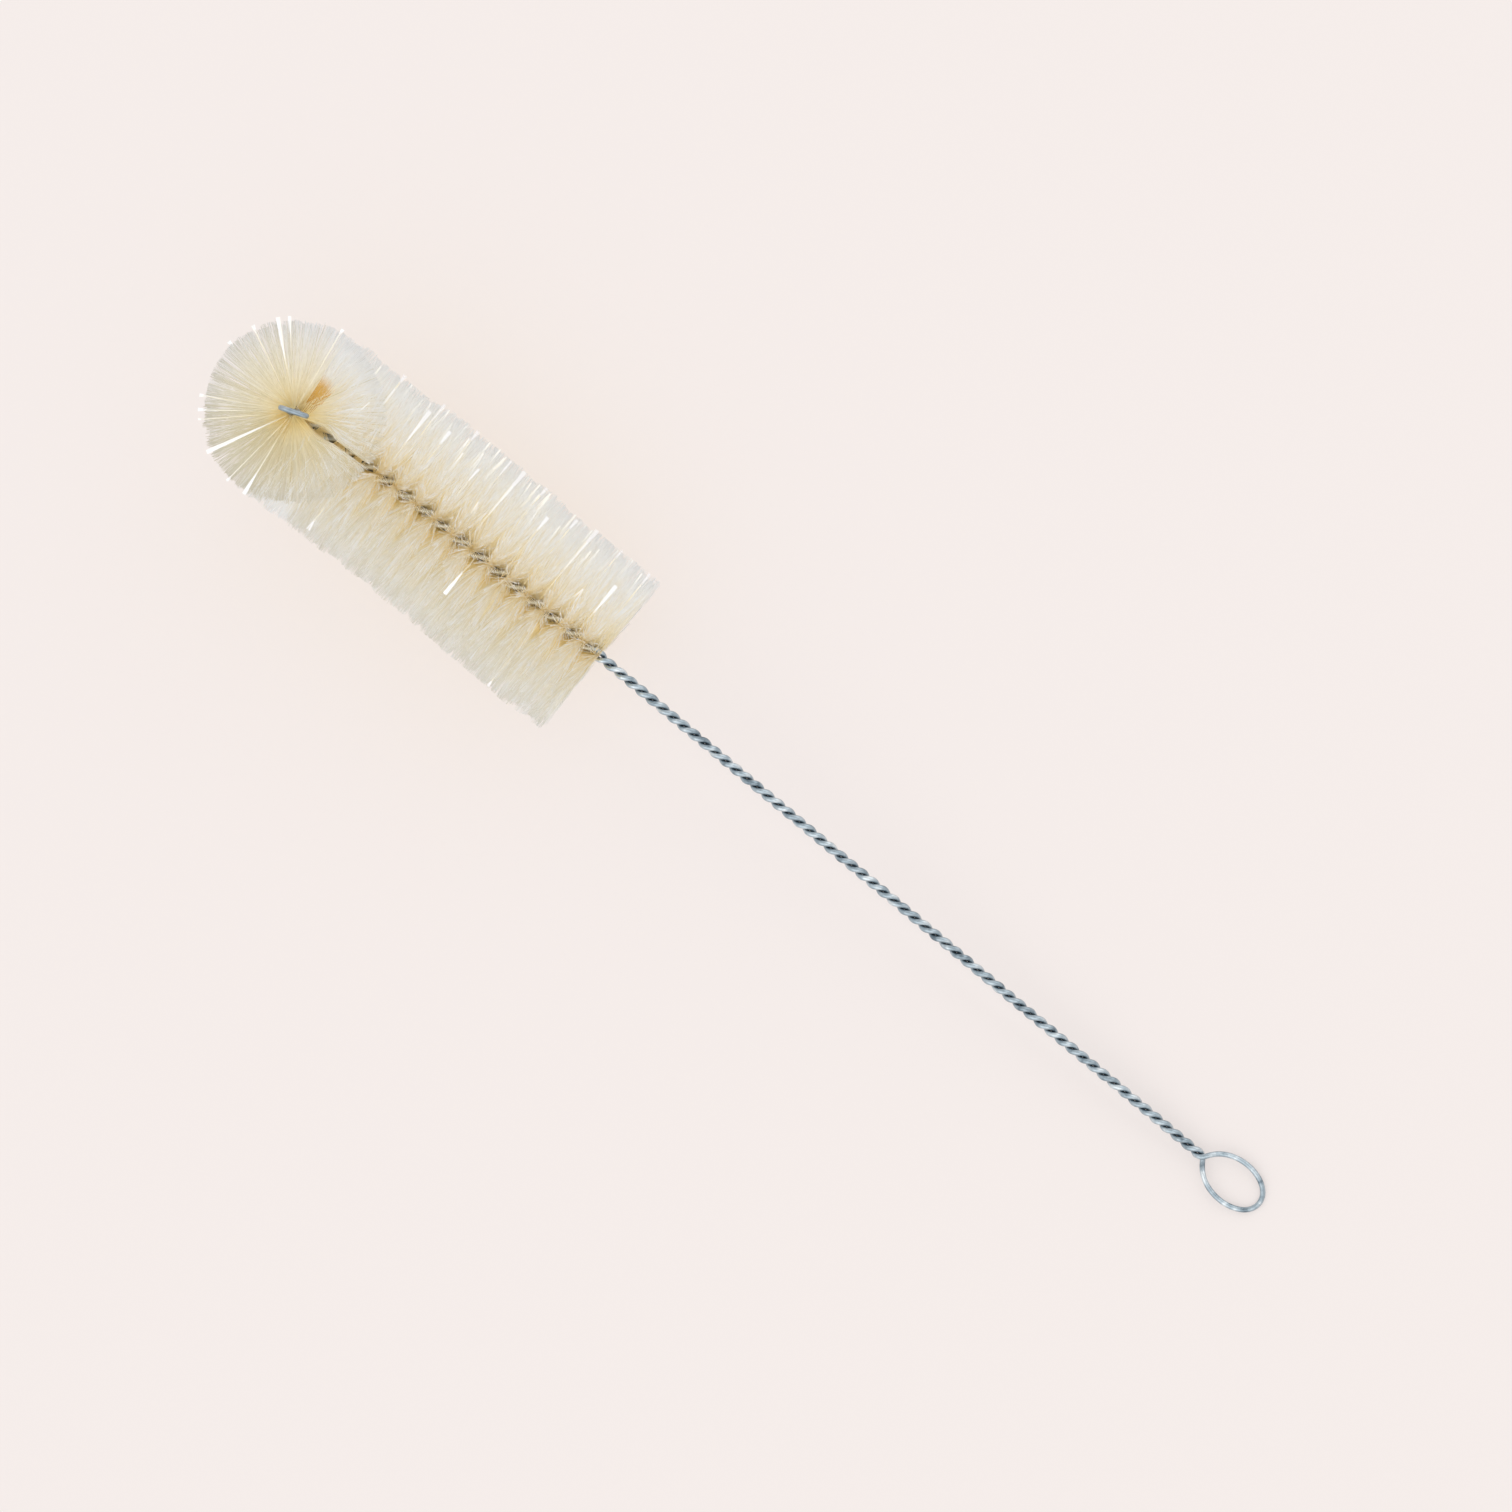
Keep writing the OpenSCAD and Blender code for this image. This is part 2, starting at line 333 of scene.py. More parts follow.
def add_light():
    """A soft sky that is dim straight overhead, one wide lamp high over the brush, and a lower, weaker
    one across it that catches the bristles which lie over the rest."""
    world = bpy.data.worlds.new("studio")
    bpy.context.scene.world = world
    world.use_nodes = True
    tree = world.node_tree
    tree.nodes.clear()
    toward = add_node(tree, "ShaderNodeTexCoord").outputs["Generated"]
    height = add_node(tree, "ShaderNodeSeparateXYZ", {0: toward}).outputs["Z"]
    strength = add_node(tree, "ShaderNodeMapRange", {
        "Value": height, "From Min": ZENITH_FROM, "From Max": ZENITH_TO,
        "To Min": SKY_LEVEL, "To Max": ZENITH_LEVEL,
    }, interpolation_type="SMOOTHSTEP").outputs["Result"]
    sky = add_node(tree, "ShaderNodeBackground", {"Color": linear("#FFFFFF"), "Strength": strength})
    add_node(tree, "ShaderNodeOutputWorld", {"Surface": sky.outputs["Background"]})

    for level, width, place in LAMPS:
        data = bpy.data.lights.new("lamp", "SUN")
        data.energy = level
        data.angle = width
        lamp = bpy.data.objects.new("lamp", data)
        from_dir = Vector(place @ np.array([VIEW_RIGHT, VIEW_UP, UPRIGHT]))
        lamp.rotation_euler = from_dir.to_track_quat("Z", "Y").to_euler()
        bpy.context.collection.objects.link(lamp)


# ---------------------------------------------------------------- meshes
def add_piece(name, points, faces, material, node):
    """One piece of the brush as a smooth mesh, in place of a node of the frame."""
    mesh = bpy.data.meshes.new(name)
    mesh.vertices.add(len(points))
    mesh.vertices.foreach_set("co", points.astype(np.float32).ravel())
    flat = np.concatenate([f.ravel() for f in faces])
    sizes = np.concatenate([np.full(len(f), f.shape[1]) for f in faces])
    mesh.loops.add(len(flat))
    mesh.loops.foreach_set("vertex_index", flat.astype(np.int32))
    mesh.polygons.add(len(sizes))
    mesh.polygons.foreach_set("loop_start", (np.cumsum(sizes) - sizes).astype(np.int32))
    mesh.polygons.foreach_set("use_smooth", np.ones(len(sizes), bool))
    mesh.update(calc_edges=True)
    mesh.validate()
    mesh.materials.append(material)
    piece = bpy.data.objects.new(name, mesh)
    bpy.context.collection.objects.link(piece)
    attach(piece, "root")
    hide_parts(node)
    return piece


def add_numbers(mesh, name, kind, values):
    """Keeps a number, or a vector, for each point of a mesh, which its material reads."""
    layer = mesh.attributes.new(name, kind, "POINT")
    layer.data.foreach_set("value" if kind == "FLOAT" else "vector", values.astype(np.float32).ravel())


def add_bake_map(mesh, corners):
    """Lays a mesh out flat for baking: a place for each corner of each face."""
    layer = mesh.uv_layers.new(name="OFBake")
    layer.uv.foreach_set("vector", corners.astype(np.float32).ravel())


# ---------------------------------------------------------------- the wire
WIRE_SIDES = 14
STEM_RINGS = 20  # in a turn of the stem
GRIP_RINGS = 28  # in a turn of the gripped length
LOOP_RINGS = 48
EYE_RINGS = 24

# Kinks are rounded over so many rings to each side, and gone over so often
EASE_RINGS = 5
LOOP_EASE = 3
EYE_EASE = 14

# Painted colour on the wire: how much of the wire's colour a painted reflection of the golden bristles
# takes where it grips them, and painted shade in the grooves between its strands, where they face each
# other; the eye is darkened all over with the same dark colour. The grooves start at about the widest
# part of a strand.
BRISTLE_REFLECTION = 0.65
BRISTLE_REFLECTION_COLOR = "#BCA877"
REFLECTION_FREE = 1.5 * BARE_LEN
# Painted shade in the grooves between the strands, and the eye's darkening, both in this dark colour
PAINTED_SHADE_SHARE = 0.62
PAINTED_SHADE_COLOR = "#3A444C"
GROOVE_EDGE = 0.05
GROOVE_FADE = 0.5
EYE_DARKENING = 0.45
EYE_START = TIP_RISE - 1 * MM

# The zinc's patches and wider blooms, each with its share, and the lines that the die left
PATCH, PATCH_SHARE = 1.6 * MM, 0.4
BLOOM, BLOOM_SHARE = 5 * MM, 0.6
LINE_W, LINE_LEN, LINE_DEEP = 0.16 * MM, 5 * MM, 0.01 * MM

# For baking, the wire lies straight in rows: their number, the slack that keeps the last one whole, and
# the edges left free beside each row and at its ends
MAP_ROWS = 13
MAP_SLACK = 1.001
MAP_SIDE = 0.05
MAP_END = 0.02


def strand_run(side):
    """Middle line of one strand, from the crossing to the end of the twist, and its direction from the
    core."""
    stem = np.linspace(0, STEM_LEN, round(STEM_TURNS * STEM_RINGS), endpoint=False)
    grip = np.linspace(STEM_LEN, TWIST_END, round(GRIP_TURNS * GRIP_RINGS) + 1)
    s = np.concatenate([stem, grip])
    points = around(s, strand_off(s), phase(s) + (0 if side > 0 else math.pi))
    return points, unit(points - core(s)[0])


def loop_side(side):
    """Middle line of one side of the handle loop, from the crossing until it is level with the other."""
    t = np.linspace(0, 1, LOOP_RINGS + 1)[1:]
    p = teardrop(t, LOOP_LEN - WIRE_R, LOOP_W / 2 - WIRE_R, 0, LOOP_LEG)
    height = strand_off(0) * (1 - smooth01(p[:, 0] / LOOP_LEVEL))
    return np.stack([p[:, 0], side * p[:, 1], side * height], -1)


def eye_way():
    """Direction from the core to the first strand at the end of the twist, in which the eye is wide."""
    _, _, over, side = core(TWIST_END)
    return math.cos(phase(TWIST_END)) * over + math.sin(phase(TWIST_END)) * side


def eye_side(side):
    """Middle line of one side of the eye, from the end of the twist."""
    t = np.linspace(0, 1, EYE_RINGS + 1)[1:]
    p = teardrop(t, EYE_LEN - WIRE_R, EYE_W / 2 - WIRE_R, strand_off(TWIST_END), EYE_LEG)
    place, along, _, _ = core(TWIST_END)
    return place + p[:, :1] * along + side * p[:, 1:] * eye_way()


def ease(course, kinks):
    """Rounds each kink, given by its ring and how often it is gone over: wire never bends quite sharp.
    The course is closed, so the last ring is next to the first."""
    n = len(course)
    for middle, passes in kinks:
        near = (np.arange(-EASE_RINGS, EASE_RINGS + 1) + middle) % n
        for _ in range(passes):
            course[near] = (course[near - 1] + 2 * course[near] + course[(near + 1) % n]) / 4
    return course


def wire_course():
    """The whole wire: far end of the handle loop, up one strand, round the eye and back. With it goes
    each ring's direction from the core, which is nothing on the loop and the eye."""
    first, first_out = strand_run(1)
    second, second_out = strand_run(-1)
    runs = [
        loop_side(1)[::-1], first, eye_side(1),
        eye_side(-1)[::-1][1:], second[::-1], loop_side(-1)[:-1],
    ]
    outs = [np.zeros_like(run) for run in runs]
    outs[1], outs[4] = first_out, second_out[::-1]
    starts = np.cumsum([len(r) for r in runs])
    kinks = [
        (starts[0], LOOP_EASE), (starts[1] - 1, EYE_EASE),
        (starts[3], EYE_EASE), (starts[4] - 1, LOOP_EASE),
    ]
    return ease(np.concatenate(runs), kinks), np.concatenate(outs)


def carried_frames(course):
    """Directions square to a closed course that follow it without turning about it."""
    run = unit(np.roll(course, -1, 0) - np.roll(course, 1, 0))
    across = np.empty_like(course)
    across[0] = unit(np.cross(run[0], [0, 0, 1.0]))
    for i in range(1, len(course)):
        across[i] = unit(across[i - 1] - (across[i - 1] @ run[i]) * run[i])
    last = unit(across[-1] - (across[-1] @ run[0]) * run[0])
    miss = math.atan2(np.cross(last, across[0]) @ run[0], last @ across[0])
    turn = (miss * np.arange(len(course)) / len(course))[:, None]
    over = np.cross(run, across)
    across = across * np.cos(turn) + over * np.sin(turn)
    return across, np.cross(run, across)


def galvanised_wire():
    """Drawn steel wire, dipped in zinc: a blue-grey metal with a soft shine, fine lines left along it
    by the die, and faint patches where the zinc froze. A painted reflection of the golden bristles yellows
    it where it grips them, painted shade darkens the grooves between its strands, and its eye is
    darkened all over. The lines are drawn coarser than the die's, so that they show."""
    material, tree, shader = new_material("galvanised_steel_wire")
    place = add_node(tree, "ShaderNodeAttribute", attribute_name="straight").outputs["Vector"]
    patches = add_node(tree, "ShaderNodeTexNoise", {
        "Vector": place, "Scale": 1 / PATCH, "Detail": 2.0, "Roughness": 0.5,
    }).outputs["Fac"]
    blooms = add_node(tree, "ShaderNodeTexNoise", {
        "Vector": place, "Scale": 1 / BLOOM, "Detail": 1.0, "Roughness": 0.4,
    }).outputs["Fac"]
    zinc = add_node(tree, "ShaderNodeMath", {0: patches, 1: PATCH_SHARE}, operation="MULTIPLY")
    zinc = add_node(tree, "ShaderNodeMath", {
        0: blooms, 1: BLOOM_SHARE, 2: zinc.outputs["Value"],
    }, operation="MULTIPLY_ADD")
    colour = add_node(tree, "ShaderNodeValToRGB", {"Fac": zinc.outputs["Value"]}, stops=[
        (0.34, "#76848E"), (0.43, "#A0AFB8"), (0.54, "#B8C5CD"), (0.64, "#DEE6EA"),
    ]).outputs["Color"]

    stretched = add_node(tree, "ShaderNodeMapping", {
        "Vector": place, "Scale": (1 / LINE_W, 1 / LINE_W, 1 / LINE_LEN),
    }).outputs["Vector"]
    lines = add_node(tree, "ShaderNodeTexNoise", {
        "Vector": stretched, "Scale": 1.0, "Detail": 2.0,
    }).outputs["Fac"]
    rough = add_node(tree, "ShaderNodeMapRange", {
        "Value": lines, "From Min": 0.3, "From Max": 0.7, "To Min": 0.24, "To Max": 0.38,
    }).outputs["Result"]
    bump = add_node(tree, "ShaderNodeBump", {"Height": lines, "Strength": 0.25, "Distance": LINE_DEEP})

    # Painted reflection: the golden bristles about the wire, painted into its colour where it grips them
    gripped = add_node(tree, "ShaderNodeAttribute", attribute_name="gripped").outputs["Fac"]
    with_reflection = add_node(tree, "ShaderNodeMix", {
        "Factor": gripped, 6: colour, 7: linear(BRISTLE_REFLECTION_COLOR),
    }, data_type="RGBA")
    # Painted shade: the grooves between the strands darkened where they face each other, and the eye
    # darkened all over
    painted_shade = add_node(tree, "ShaderNodeAttribute", attribute_name="painted_shade").outputs["Fac"]
    shade_share = add_node(tree, "ShaderNodeMath", {0: painted_shade, 1: PAINTED_SHADE_SHARE}, operation="MULTIPLY")
    shaded_colour = add_node(tree, "ShaderNodeMix", {
        "Factor": shade_share.outputs["Value"], 6: with_reflection.outputs[2], 7: linear(PAINTED_SHADE_COLOR),
    }, data_type="RGBA")
    tree.links.new(shaded_colour.outputs[2], shader.inputs["Base Color"])
    tree.links.new(rough, shader.inputs["Roughness"])
    tree.links.new(bump.outputs["Normal"], shader.inputs["Normal"])
    shader.inputs["Metallic"].default_value = 1.0
    return material


def bristle_reflection_of(course):
    """How much of the painted reflection of the golden bristles each ring of the wire takes: none on
    the stem, the bare bead and the eye."""
    along = -course[:, 0]
    reflected = BRISTLE_REFLECTION * smooth01((along - STEM_LEN) / GRIP_RAMP) * (course[:, 2] < EYE_START)
    return reflected * (1 - np.exp(-((along - BEND_START - BARE_AT) / REFLECTION_FREE) ** 2))


def painted_shade_of(course, out, ring):
    """How much painted shade each point of each ring takes: most where the strands face each other in
    the grooves between them. The eye is darkened all over.
    """
    facing = np.einsum("nkc,nc->nk", ring, out)
    twisted = np.any(out != 0, axis=1)[:, None]
    painted_shade = smooth01((GROOVE_EDGE - facing) / GROOVE_FADE) * twisted
    return np.maximum(painted_shade, EYE_DARKENING * (course[:, 2] > EYE_START)[:, None])


def row_map(far, i, k):
    """The wire laid straight and cut into rows, one above the other, for face k of each ring i."""
    row_len = far[-1] / MAP_ROWS * MAP_SLACK
    row = np.floor((far[:-1] + far[1:]) / 2 / row_len)[i]
    start, end = far[:-1][i] / row_len - row, far[1:][i] / row_len - row
    face_w = (1 - 2 * MAP_SIDE) / WIRE_SIDES
    low, high = (row + MAP_SIDE + face_w * k) / MAP_ROWS, (row + MAP_SIDE + face_w * (k + 1)) / MAP_ROWS
    u = MAP_END + (1 - 2 * MAP_END) * np.stack([start, start, end, end], -1)
    return np.stack([u, np.stack([low, high, high, low], -1)], -1)


def add_wire():
    """Draws a ring of points along the wire's course, and tells its material of each point where it
    is on the wire laid straight, how much painted reflection of the bristles it takes and how much
    painted shade."""
    course, out = wire_course()
    across, over = carried_frames(course)
    n = len(course)
    angle = 2 * math.pi * np.arange(WIRE_SIDES) / WIRE_SIDES
    ring = np.cos(angle)[:, None] * across[:, None] + np.sin(angle)[:, None] * over[:, None]
    points = laid((course[:, None] + WIRE_R * ring).reshape(-1, 3))
    i, k = np.meshgrid(np.arange(n), np.arange(WIRE_SIDES), indexing="ij")
    here, there = i * WIRE_SIDES, (i + 1) % n * WIRE_SIDES
    m = (k + 1) % WIRE_SIDES
    faces = np.stack([here + k, here + m, there + m, there + k], -1).reshape(-1, 4)
    wire = add_piece("wire", points, [faces], galvanised_wire(), "twisted_wire")

    steps = np.linalg.norm(np.roll(course, -1, 0) - course, axis=1)
    far = np.concatenate([[0], np.cumsum(steps)])
    straight = np.stack([
        np.tile(WIRE_R * np.cos(angle), n),
        np.tile(WIRE_R * np.sin(angle), n),
        np.repeat(far[:-1], WIRE_SIDES),
    ], -1)
    add_numbers(wire.data, "straight", "FLOAT_VECTOR", straight)
    add_numbers(wire.data, "gripped", "FLOAT", np.repeat(bristle_reflection_of(course), WIRE_SIDES))
    add_numbers(wire.data, "painted_shade", "FLOAT", painted_shade_of(course, out, ring))
    add_bake_map(wire.data, row_map(far, i, k))


# ---------------------------------------------------------------- sizes of the bristles
SEED = 7
BRISTLE_COUNT = 24000
BRISTLE_SIDES = 3
GROWTH = np.array([0.0, 0.34, 0.68, 1.0])  # the rings of a bristle, from its root to its tip
ROOT_RADIUS = 0.080 * MM
TIP_RADIUS = 0.062 * MM

# Roots: how far they are from the core and to the side of it, and from the ends of the gripped web
ROOT_OUT = 1.0 * MM
ROOT_SIDE = 0.2 * MM
FILL_INSET = 0.4 * MM

# How far tips lean along the core and splay round it. A share of the bristles stray further.
LEAN = 3.7 * MM
SPLAY = math.radians(20)
STRAY = math.radians(65)
STRAY_SHARE = 0.38
END_NOISE = 0.8 * MM

# Tufts hold together. Each bristle, each tuft and each wider lobe is trimmed at its own length, and the
# turned-up tip a little shorter.
TUFT_SHARE = 1 / 9
TUFT_PULL = 0.28
LOBES = 150
OWN_NOISE = 0.6 * MM
TRIM_NOISE = 1.3 * MM
LOBE_NOISE = 1.1 * MM
TIP_TRIM = 0.9 * MM

# At the bend: how much further the bristles outside it lean. Those inside it stop where they meet the
# turned-up tip's, give or take a little and at some least length, and lean away from them.
BEND_LEAN = 1.6
MEET_NOISE = 3 * MM
MEET_LEAST = 6 * MM
MEET_LEAN = 0.25
OUTSIDE = 0.01  # so little inside that there is all the room a bristle needs

# Where the bristles of the turned-up tip part, round from the handle: direction, half width, reach.
# They are pushed aside at their roots, and come back to their place as they grow.
PARTINGS = [
    (math.radians(0), math.radians(6), math.radians(30)),
    (math.radians(141), math.radians(5), math.radians(16)),
    (math.radians(220), math.radians(5), math.radians(20)),
    (math.radians(268), math.radians(6), math.radians(20)),
]
PUSH_HELD = 0.3

# Where bristles are combed aside from the core: from how far before the bend, and the lengths over which
# it comes in there and goes at the tip's core; how far from the core, how far out they make room, and
# the growth by which they are all the way aside
COMB_LEN = 30 * MM
COMB_FADE = 8 * MM
COMB_END = 4 * MM
COMB_W = 0.6 * MM
COMB_REACH = 5 * MM
COMB_GROWTH = 0.3

# Bundles of long bristles that stray over the rest, painted white but for their roots as painted
# highlights. On the straight length: how many mm from the first bristles they are rooted, the directions
# in degrees in which they come up and end, and how many they are.
STREAKS = [
    (4, 58, 84, 6), (9.5, 18, 42, 9), (15, 62, 86, 5), (24.5, 26, 84, 16), (31, 54, 70, 5),
    (38, 36, 50, 5), (44, 62, 86, 7), (52, 23, 78, 18), (57, 50, 78, 7), (63, 32, 44, 5),
    (70, 60, 84, 7), (76, 40, 54, 6), (82, 50, 86, 12), (84, 26, 58, 8), (96, 64, 84, 6),
    (47, -14, -32, 8), (20, -66, -80, 4), (92, -52, -64, 5),
]
# On top of the turned-up tip: their direction, the share of the radius where they come up, how many
TIP_STREAKS = [
    (241, 0.34, 10), (136, 0.56, 12), (129, 0.80, 6), (275, 0.74, 7), (152, 0.90, 5), (169, 0.93, 4),
    (206, 0.92, 4), (215, 0.90, 5), (221, 0.94, 4), (96, 0.93, 4), (262, 0.93, 4),
]
# How far the bristles of a bundle stand apart, and how late they spread; how far in from the rim they
# lie, and at what share of that they are rooted; how much thicker they are at their second ring and
# beyond; and how deep each ring of those on the tip is sunk
STREAK_W = 0.55 * MM
STREAK_SPREAD = 1.5
STREAK_INSET = 0.3 * MM
STREAK_ROOT = 0.04
STREAK_START = 1.4
STREAK_THICK = 3.2
STREAK_SINK = np.array([4.0, 1.1, 0.1, 0.0]) * MM

# The wedge of the turned-up tip painted amber: painted shade, as where one looks deep into a gap. Its
# direction and half width, and how its roots are shifted: toward the end of the eye's bar, so far apart,
# and up
WEDGE_AT = math.radians(98)
WEDGE_WIDE = math.radians(11)
WEDGE_OFF = 3.1 * MM
WEDGE_W = 1.3 * MM
WEDGE_LIFT = 1.2 * MM

# Tufts of the straight length painted white at their tips as painted highlights, all on one side: how
# many, how far over to the side they are, and how far off bristles are drawn into them, how much and
# how thick at the tip
GLINT_TUFTS = 60
GLINT_SIDE = 0.85
GLINT_REACH = 1.2 * MM
GLINT_PULL = 0.92
GLINT_THICK = 2.6

# A bristle's tone: the palest plain one, those of the wedge of painted shade, and of the tufts and
# streaks painted white as highlights
PLAIN_TONE = 0.88
WEDGE_SHADE_TONE = 0.94
GLINT_TONE = 0.97
GLINT_STREAK_TONE = 1.0

# What makes a plain bristle pale: half of it to start with, then its side of the brush, painted light
# that makes one side paler and the other darker, its tuft, a little of its own, and the bare bead.
# Painted shade along the partings and on the turned-up tip makes it golden.
PALE_START = 0.5
PAINTED_LIGHT_SIDE = 0.26
PALE_TUFT = 0.10
PALE_OWN = 0.03
PALE_BARE = 0.4
PALE_BARE_LEN = 2 * BARE_LEN
PARTING_SHADE = 0.35
TIP_SHADE = 0.2

# How fast a bristle pales as it grows, and how far its tone shifts that
PALE_GROWTH = 0.8
TONE_SHIFT = 0.36

# Tints over a bristle's pale colour: each colour, and the numbers that bring it in, with the values at
# which they start to and are done
TINTS = [
    # Low tones, past their roots, among them the painted shade of one side, the partings and the tip
    ("#C8BF9C", [("tone", 0.42, -0.22), ("growth", 0.12, 0.35)]),
    # The wedge of painted shade, near its roots
    ("#DFAE55", [("tone", 0.905, 0.915), ("tone", 0.960, 0.950), ("growth", 0.52, 0.36)]),
    # Tufts and streaks painted white at their tips: painted highlights
    ("#FFFFFF", [("tone", 0.950, 0.960), ("growth", 0.74, 0.84)]),
    # Streaks painted white but for their roots: painted highlights
    ("#FFFFFF", [("tone", 0.982, 0.990), ("growth", 0.30, 0.45)]),
]

# One piece of six stops light. The rest let it by, as pale bristle does, so that it reaches the roots.
PIECES = 6
THROUGH = 0.955
THROUGH_COLOR = "#FFF9E6"

# For baking, tone goes across the map and growth up it: the edges left free, and a face's width
TONE_EDGE = 0.03
GROWTH_EDGE = 0.02
FACE_W = 0.006


# ---------------------------------------------------------------- the bristles
def bleached_bristle():
    """Boiled and bleached bristle: waxy, slightly see-through keratin, golden where it is gripped, partly
    its own colour and partly painted shade of the deep brush, and nearly white at its split tips, with a
    soft gleam along each hair. Its tone also brings in painted light and shade, and painted highlights."""
    material, tree, shader = new_material("bleached_bristle")
    known = {
        name: add_node(tree, "ShaderNodeAttribute", attribute_name=name).outputs["Fac"]
        for name in ("growth", "tone")
    }
    growing = add_node(tree, "ShaderNodeMath", {0: known["growth"], 1: PALE_GROWTH}, operation="MULTIPLY")
    paled = add_node(tree, "ShaderNodeMath", {
        0: known["tone"], 1: TONE_SHIFT, 2: growing.outputs["Value"],
    }, operation="MULTIPLY_ADD")
    # Golden toward the roots: partly the bristle's own colour, partly painted shade of the deep brush
    colour = add_node(tree, "ShaderNodeValToRGB", {"Fac": paled.outputs["Value"]}, stops=[
        (0.12, "#FFE49E"), (0.30, "#FBEBC0"), (0.54, "#F7F0DC"), (0.78, "#F6F3EC"), (0.94, "#F9FAFA"),
    ]).outputs["Color"]
    for code, limits in TINTS:
        share = 1.0
        for name, start, end in limits:
            part = add_node(tree, "ShaderNodeMapRange", {
                "Value": known[name], "From Min": start, "From Max": end, "To Min": 0.0, "To Max": 1.0,
            }).outputs["Result"]
            both = add_node(tree, "ShaderNodeMath", {0: share, 1: part}, operation="MULTIPLY")
            share = both.outputs["Value"]
        colour = add_node(tree, "ShaderNodeMix", {
            "Factor": share, 6: colour, 7: linear(code),
        }, data_type="RGBA").outputs[2]
    rough = add_node(tree, "ShaderNodeMapRange", {
        "Value": known["tone"], "From Min": 0.0, "From Max": 1.0, "To Min": 0.45, "To Max": 0.25,
    }).outputs["Result"]
    tree.links.new(colour, shader.inputs["Base Color"])
    tree.links.new(rough, shader.inputs["Roughness"])
    shader.inputs["IOR"].default_value = 1.55

    # Part of the light goes on through a hair, a little yellower, to those behind it
    ray = add_node(tree, "ShaderNodeLightPath").outputs
    clear = add_node(tree, "ShaderNodeBsdfTransparent", {"Color": linear(THROUGH_COLOR)}).outputs["BSDF"]
    solid = shader.outputs["BSDF"]
    passing = add_node(tree, "ShaderNodeMixShader", {0: THROUGH, 1: solid, 2: clear}).outputs["Shader"]
    for kind in ("Is Shadow Ray", "Is Diffuse Ray"):
        solid = add_node(tree, "ShaderNodeMixShader", {0: ray[kind], 1: solid, 2: passing}).outputs["Shader"]
    tree.links.new(solid, tree.nodes["Material Output"].inputs["Surface"])
    return material


def nearest(tips, guides):
    """For each tip, which of the guides has its own tip nearest, and how far off that is."""
    tree = KDTree(len(guides))
    for k, g in enumerate(guides):
        tree.insert(tips[g], k)
    tree.balance()
    found = [tree.find(tip) for tip in tips]
    return np.array([f[1] for f in found]), np.array([f[2] for f in found])


def drawn(paths, toward, pull):
    """Bristles drawn toward others, more and more toward their tips."""
    return paths + np.asarray(pull)[..., None, None] * (GROWTH ** 2)[:, None] * (toward - paths)


def turned_up(s):
    """0 on the straight length and 1 on the turned-up tip, going over within the bend."""
    return smooth01((s - BEND_START) / BEND_LEN)


def rooted(rng):
    """Where the bristles stand, in two rows from the edges of the gripped web: the length along the
    core, the direction round it, the core's place, and the directions there."""
    n = BRISTLE_COUNT
    row = np.arange(n) % 2
    first, last = STEM_LEN + FILL_INSET, TWIST_END - FILL_INSET
    s = first + (last - first) * (np.arange(n) + rng.uniform(0, 1, n)) / n
    angle = phase(s) + math.pi / 2 + math.pi * row
    place, along, over, side = core(s)
    out = np.cos(angle)[:, None] * over + np.sin(angle)[:, None] * side
    return SimpleNamespace(
        s=s, angle=angle, place=place, along=along, over=over, side=side,
        out=out, tangent=np.cross(along, out),
    )


def given_room(stand, reach, lean, rng):
    """How far bristles reach out and lean once those of the bend have the room that there is."""
    s, n = stand.s, len(stand.s)
    bent = np.sin(np.clip((s - BEND_START) / BEND_LEN, 0, 1) * math.pi)
    lean = lean * (1 + BEND_LEAN * bent * np.clip(-np.cos(stand.angle), 0, 1))
    ahead_of_tip = np.maximum(BEND_START - s, 0) + TIP_BEND_R
    inside = np.clip(np.cos(stand.angle), 0, 1) * (s < BEND_START)
    room = (ahead_of_tip + MEET_NOISE * rng.uniform(-1, 1, n)) / np.maximum(inside, OUTSIDE)
    reach = np.where(s < BEND_START, np.minimum(reach, np.maximum(room, MEET_LEAST)), reach)
    lean = lean - MEET_LEAN * inside * np.clip(BRISTLE_R - ahead_of_tip, 0, None)
    lean = np.clip(lean, STEM_LEN - s - END_NOISE * rng.uniform(0, 1, n), np.maximum(TWIST_END - s, 0))
    return reach, lean


def partings(stand):
    """How far each bristle of the turned-up tip is pushed round from where it would stand: they settle
    to either side of partings, the widest of them where the straight length comes through. With it
    goes how near each is to a parting, where the bristles are painted golden and darker: painted shade
    of the deep gap."""
    push, parting_shade_mask = np.zeros_like(stand.s), np.zeros_like(stand.s)
    for middle, half, reach in PARTINGS:
        off = within_half_turn(stand.angle - middle)
        near = turned_up(stand.s) * np.clip(1 - np.abs(off) / reach, 0, 1)
        push, parting_shade_mask = push + near * half * np.sign(off), parting_shade_mask + near
    return push, parting_shade_mask


